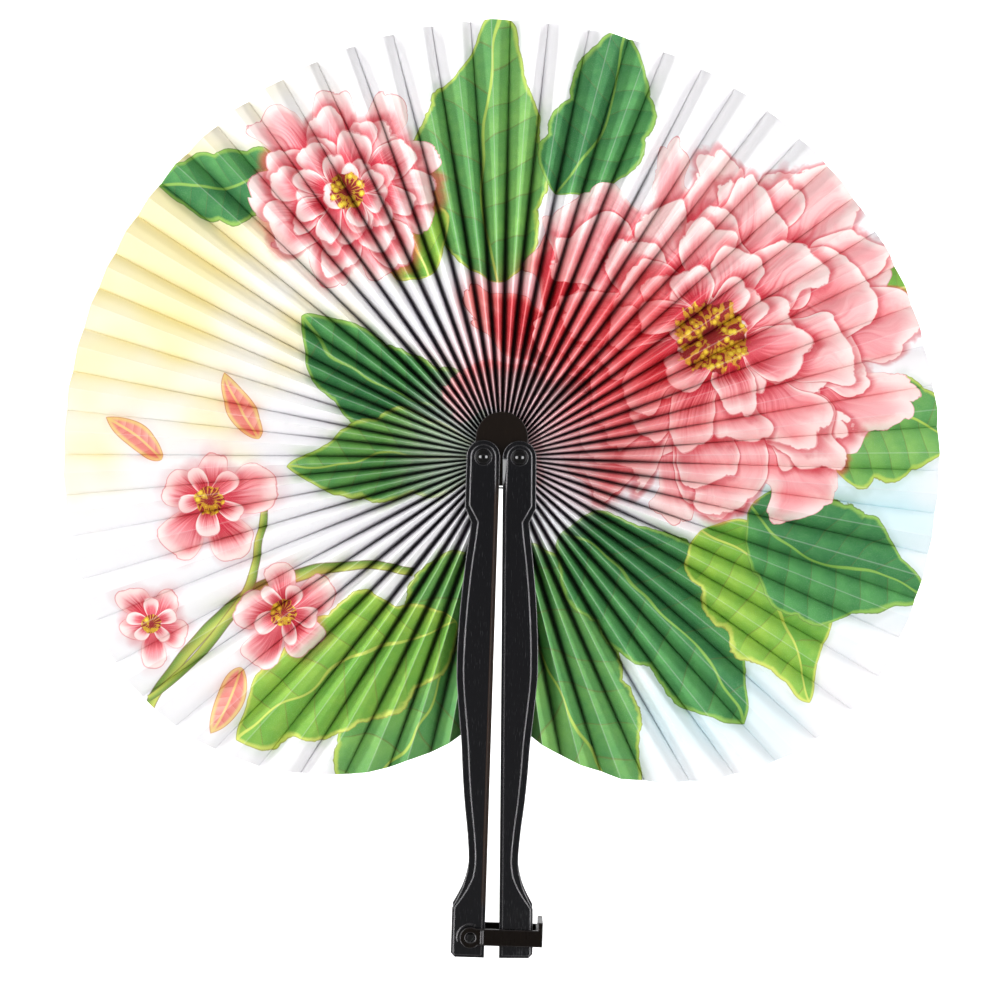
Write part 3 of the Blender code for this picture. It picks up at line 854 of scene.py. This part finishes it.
def worn_and_highlit_edges(paint, rounded):
    """How much an edge is lightened, a little everywhere by wear and most where it faces sideways by a
    painted highlight, and how far it faces +X on the piece.
    """
    true_normal = paint.node("ShaderNodeNewGeometry").outputs["True Normal"]
    bend = paint.node("ShaderNodeVectorMath", {0: rounded, 1: true_normal}, operation="DOT_PRODUCT")
    edge = paint.step(Num(paint, bend.outputs["Value"]), 0.985, 0.9)
    own_normal = paint.node("ShaderNodeVectorTransform", {"Vector": rounded},
                            vector_type="NORMAL", convert_from="WORLD", convert_to="OBJECT")
    sideways = paint.sides(own_normal.outputs[0])[0]
    return edge * (0.12 + paint.step(abs(sideways), 0.3, 0.68)), sideways


def inner_strip(paint, shade, side, x, y, z, fine, broad):
    """The strip on a handle's front beside the gap: brown on the left one, and a grey painted highlight
    on the right's head.
    """
    from_gap = x * side - INNER_EDGE - (HUB_UP - z) * tan(LEAN)
    in_front = paint.step(y, *HANDLE_FRONT)
    if side < 0:
        strip = paint.step(from_gap, *BROWN_WIDTH) * in_front
        strip = strip * paint.step(z, *BROWN_TOP) * paint.step(z, *BROWN_FOOT)
        return paint.mix(strip * (0.5 + broad * 0.6), shade, BROWN_STRIP)
    # On the right head, a grey painted highlight beside the gap
    width = GREY_WIDTH - (GREY_TOP[1] - z) * GREY_TAPER
    strip = paint.step(from_gap, width, width - GREY_SOFTNESS) * in_front
    strip = strip * paint.step(z, *GREY_FOOT) * paint.step(z, *GREY_TOP)
    return paint.mix(strip * (0.7 + fine * 0.4), shade, HIGHLIGHT_GREY)


def pin_glints(paint, shade, x, z):
    """Two painted highlights, small bright spots, on each pivot pin's head."""
    from_middle = abs(abs(abs(x) - PIN_PLACE / MM) - GLINT_PLACE)
    rise = z - HUB_UP
    spot = paint.step(from_middle * from_middle + rise * rise, 0.22, 0.08)
    return paint.mix(spot * 0.8, shade, HIGHLIGHT_GREY)


def plastic(name, base, worn, roughness, grain, shine, edge_wear_and_highlight, side=0, glinting=False):
    """Moulded black plastic with a fine grain, soft sink marks, and edges lightened by wear and by a
    painted highlight.

    side is -1 or 1 for the left or right handle, which has its own scuffs and strip.
    """
    made, paint, shader, x, y, z = plain_material(name, base, roughness)
    fine = paint.noise_at(paint.vector(x, y, z), grain, 3.0)
    broad = paint.noise_at(paint.vector(x, y, z * 0.3), 0.35, 2.0)
    scratch = paint.noise_at(paint.vector(x * 2.4, y, z * 0.16), 2.2, 3.0)
    rub = paint.step(scratch, 0.6, 0.74) * 0.25 + paint.step(fine, 0.66, 0.8) * 0.12
    rounded = paint.node("ShaderNodeBevel", {"Radius": EDGE_ROUNDING}, samples=4).outputs[0]
    edge, sideways = worn_and_highlit_edges(paint, rounded)
    if side:
        scuffed = paint.step(z, *FOOT_SCUFFS) * paint.step(x, *SCUFFED_SIDE)
        rub = rub + scuffed * paint.step(scratch + fine * 0.5, 0.78, 1.0) * 0.55
        # The painted edge highlight is weaker on the inner edges, facing the gap, below the heads
        inward = paint.step(sideways * side, 0.0, -0.2)
        edge = edge * (1 - inward * paint.step(z, *UPPER_INNER_EDGE) * 0.8)
    shade = paint.mix(rub, base, worn)
    # Edges lightened to grey: a little everywhere as wear, and most where they face sideways as a painted
    # highlight
    shade = paint.mix(edge * (fine * 0.6 + broad * 0.7) * edge_wear_and_highlight, shade, EDGE_WEAR_AND_HIGHLIGHT_GREY)
    if side:
        shade = inner_strip(paint, shade, side, x, y, z, fine, broad)
    if glinting:
        # Painted highlights on the pin heads
        shade = pin_glints(paint, shade, x, z)
    paint.feed(shader.inputs["Base Color"], shade)
    paint.feed(shader.inputs["Roughness"], roughness + (broad - 0.5) * 0.25 + rub * 0.3)
    bump = paint.node("ShaderNodeBump", {
        "Height": fine + broad * 3, "Strength": 0.25, "Distance": 0.00004, "Normal": rounded,
    })
    paint.feed(shader.inputs["Normal"], bump.outputs[0])
    shader.inputs["Specular IOR Level"].default_value = shine
    return made


def finish_with(made, *nodes):
    """Gives CAD nodes a better material."""
    for node in nodes:
        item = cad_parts[node]
        for slot in item.material_slots:
            slot.material = made


# Colour, worn colour, roughness, grain, shine, and edge wear with painted edge highlight of each plastic
HANDLE_BLACK = (colour(14, 14, 17), colour(92, 92, 94), 0.2, 7.0, 0.085, 1.25)
HUB_BLACK = (colour(22, 16, 12), colour(50, 42, 36), 0.34, 6.0, 0.06, 0.2)
LATCH_BLACK = (colour(13, 8, 5), colour(60, 48, 38), 0.3, 7.0, 0.05, 0.9)
PIN_BLACK = (colour(12, 11, 11), colour(60, 58, 56), 0.14, 9.0, 0.08, 0.25)

finish_with(plastic("left_handle_black", *HANDLE_BLACK, side=-1), "handle_left")
finish_with(plastic("right_handle_black", *HANDLE_BLACK, side=1), "handle_right")
finish_with(plastic("hub_matt_black", *HUB_BLACK), "hub_core", "hub_front_plate", "hub_rear_plate")
finish_with(plastic("latch_brown_black", *LATCH_BLACK), "latch")
# The pins' heads get two painted highlights each
finish_with(plastic("pin_gloss_black", *PIN_BLACK, glinting=True),
            "pivot_pin_left", "pivot_pin_right", "latch_pin")


STEEL = colour(176, 176, 180)
STEEL_DARK = colour(150, 150, 155)
STEEL_LIGHT = colour(196, 196, 200)


def steel():
    """Drawn steel wire with fine lines round it."""
    made, paint, shader, x, y, z = plain_material("ring_wire_steel", STEEL, 0.3, 1.0)
    lines = paint.noise_at(paint.vector(x, y * 6, z), 3.0, 2.0)
    paint.feed(shader.inputs["Base Color"], paint.mix(lines, STEEL_DARK, STEEL_LIGHT))
    paint.feed(shader.inputs["Roughness"], 0.22 + lines * 0.2)
    return made


finish_with(steel(), "gather_ring")


# Floor, lights and camera

def seen_by_camera(paint):
    """1 for the camera's rays and for those it sees in a mirror or through glass, or else 0."""
    path = paint.node("ShaderNodeLightPath")
    seen = Num(paint, path.outputs["Is Camera Ray"]) + Num(paint, path.outputs["Is Glossy Ray"])
    return paint.math("MINIMUM", seen + Num(paint, path.outputs["Is Transmission Ray"]), 1.0)


# The floor lies below the latch when it is swung down. It glows for the camera: in part as far out as
# WHITE_START, so that it keeps shadows, and in full from WHITE_END. Lengths are in metres
FLOOR_HEIGHT = -0.096
FLOOR_HALF = 2.6
FLOOR_FRONT = -1.6
FLOOR_RISE_START = 0.5
FLOOR_RISE_RADIUS = 0.9
FLOOR_RISE_STEPS = 24
BACKDROP_HEIGHT = 2.4
FLOOR_SHADE = colour(240, 240, 240)
FLOOR_GLOW = 0.72
WHITE_START = 0.25
WHITE_END = 0.7


def floor_material():
    """Plain white that keeps shadows near the fan and fades to pure white away from it."""
    made = bpy.data.materials.new("floor_white")
    made.use_nodes = True
    paint = Paint(made.node_tree)
    shader = made.node_tree.nodes["Principled BSDF"]
    shader.inputs["Base Color"].default_value = FLOOR_SHADE
    shader.inputs["Roughness"].default_value = 0.9
    shader.inputs["Specular IOR Level"].default_value = 0.0
    shader.inputs["Emission Color"].default_value = (1, 1, 1, 1)
    place = paint.node("ShaderNodeTexCoord").outputs["Object"]
    length = paint.node("ShaderNodeVectorMath", {0: place}, operation="LENGTH")
    away = paint.step(Num(paint, length.outputs["Value"]), WHITE_START, WHITE_END)
    glow = away * (1 - FLOOR_GLOW) + FLOOR_GLOW
    paint.feed(shader.inputs["Emission Strength"], seen_by_camera(paint) * glow)
    return made


def make_stage():
    """A floor that curves up into a backdrop behind the fan."""
    profile = [(FLOOR_FRONT, 0.0), (FLOOR_RISE_START, 0.0)]
    for n in range(1, FLOOR_RISE_STEPS + 1):
        turn = pi / 2 * n / FLOOR_RISE_STEPS
        profile.append((FLOOR_RISE_START + FLOOR_RISE_RADIUS * sin(turn),
                        FLOOR_RISE_RADIUS * (1 - cos(turn))))
    profile.append((FLOOR_RISE_START + FLOOR_RISE_RADIUS, BACKDROP_HEIGHT))
    verts = [(side * FLOOR_HALF, y, FLOOR_HEIGHT + z) for y, z in profile for side in (-1, 1)]
    faces = [(2 * n, 2 * n + 1, 2 * n + 3, 2 * n + 2) for n in range(len(profile) - 1)]
    mesh = bpy.data.meshes.new("floor")
    mesh.from_pydata(verts, [], faces)
    mesh.shade_smooth()
    mesh.materials.append(floor_material())
    floor = bpy.data.objects.new("floor", mesh)
    bpy.context.scene.collection.objects.link(floor)


# Name, place, width, height and power of each lamp. All are aimed at one point
LAMPS_AIM = Vector((0, 0, 0.06))
LAMPS = [
    ("key", (-1.3, -0.95, 0.25), 0.6, 0.7, 11.8),
    ("fill", (1.3, -1.0, 0.3), 0.6, 0.7, 10.2),
    ("strip_left", (-1.0, -0.16, 0.22), 0.08, 0.9, 9),
    ("strip_right", (1.0, -0.16, 0.22), 0.08, 0.9, 8),
    ("back", (0.7, 1.1, 0.75), 0.7, 0.7, 8),
]


def area_light(name, place, width, height, power):
    """A rectangular soft light."""
    lamp = bpy.data.lights.new(name, "AREA")
    lamp.shape = "RECTANGLE"
    lamp.size = width
    lamp.size_y = height
    lamp.energy = power
    made = bpy.data.objects.new(name, lamp)
    made.location = place
    made.rotation_euler = (LAMPS_AIM - Vector(place)).to_track_quat("-Z", "Y").to_euler()
    bpy.context.scene.collection.objects.link(made)


# The picture is this wide at the disc, in metres, and the hub stands this far from its middle
CAMERA_DISTANCE = 0.86
VIEW_WIDTH = 0.2886
SENSOR_WIDTH = 36.0
CAMERA_ROLL = radians(1.15)
HUB_RIGHT_OF_MIDDLE = 0.00043
HUB_ABOVE_MIDDLE = 0.01227


def make_camera():
    """A camera square to the disc, rolled a little so that the handles lean as photographed."""
    lens = bpy.data.cameras.new("camera")
    lens.sensor_width = SENSOR_WIDTH
    lens.lens = SENSOR_WIDTH * CAMERA_DISTANCE / VIEW_WIDTH
    lens.clip_start = 0.01
    lens.clip_end = 20
    made = bpy.data.objects.new("camera", lens)
    right = Vector((cos(CAMERA_ROLL), 0, sin(CAMERA_ROLL)))
    up = Vector((-sin(CAMERA_ROLL), 0, cos(CAMERA_ROLL)))
    centre = Vector((0, 0, HUB_HEIGHT)) - right * HUB_RIGHT_OF_MIDDLE - up * HUB_ABOVE_MIDDLE
    made.matrix_world = Matrix((
        (right.x, up.x, 0, centre.x),
        (right.y, up.y, -1, -CAMERA_DISTANCE),
        (right.z, up.z, 0, centre.z),
        (0, 0, 0, 1),
    ))
    bpy.context.scene.collection.objects.link(made)
    bpy.context.scene.camera = made


WORLD_STRENGTH = 0.12


def make_world():
    """A dim even light, which the camera sees as white."""
    world = bpy.data.worlds.new("studio")
    world.use_nodes = True
    paint = Paint(world.node_tree)
    back = world.node_tree.nodes["Background"]
    back.inputs["Color"].default_value = (1, 1, 1, 1)
    strength = seen_by_camera(paint) * (1 - WORLD_STRENGTH) + WORLD_STRENGTH
    paint.feed(back.inputs["Strength"], strength)
    bpy.context.scene.world = world


make_stage()
for lamp in LAMPS:
    area_light(*lamp)
make_world()
make_camera()
bpy.context.scene.view_settings.view_transform = "Standard"
